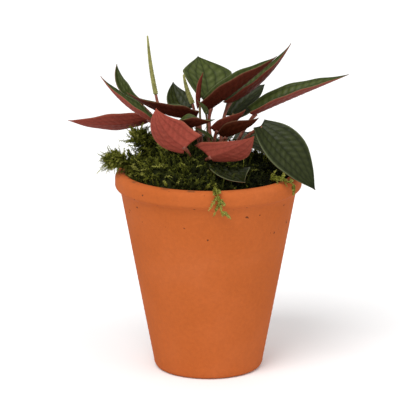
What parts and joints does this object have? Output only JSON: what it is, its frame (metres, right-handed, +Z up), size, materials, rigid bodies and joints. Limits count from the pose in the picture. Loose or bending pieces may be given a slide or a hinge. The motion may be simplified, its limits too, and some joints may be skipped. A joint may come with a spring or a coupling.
{
  "type": "potted peperomia",
  "caption": "Small ripple-leaved peperomia with red leaf undersides and thin flower spikes, moss-topped in a tapered terracotta pot with a rolled rim.",
  "frame": {"origin": "centre of the pot's base on the resting plane, on the pot's axis, which is also the middle of the whole plant's extents", "axes": "+Z up along the pot's axis; -Y is the front; +X is the viewer's right seen from the front"},
  "size_m": [0.1576, 0.1127, 0.19],
  "materials": {
    "terracotta": "matte",
    "soil": "matte",
    "stem": "matte",
    "moss": "matte",
    "leaf": "satin",
    "flower_spike": "matte"
  },
  "bodies": {
    "root": {"pot": "terracotta", "potting_soil": "soil", "crown": "stem", "moss_mat": "moss", "moss_tuft_left": "moss", "moss_tuft_rear_left": "moss", "moss_sprig_front": "moss", "moss_sprig_right": "moss", "leaf_left_low": "leaf", "leaf_left_narrow": "leaf", "leaf_left_back": "leaf", "leaf_left_broad": "leaf", "leaf_front_left": "leaf", "leaf_centre_curled": "leaf", "leaf_front_centre": "leaf", "leaf_front_low": "leaf", "leaf_right_hanging": "leaf", "leaf_right_under": "leaf", "leaf_right_long": "leaf", "leaf_upper_front": "leaf", "leaf_upper_back": "leaf", "leaf_back_broad": "leaf", "leaf_back_left": "leaf", "leaf_young_upright": "leaf", "leaf_right_back": "leaf", "leaf_centre_small": "leaf", "leaf_centre_dark": "leaf", "leaf_young_a": "leaf", "leaf_young_b": "leaf", "leaf_rear_centre": "leaf", "leaf_rear_left": "leaf", "leaf_rear_right": "leaf", "flower_spike_tall": "flower_spike", "flower_spike_short": "flower_spike"}
  },
  "joints": []
}
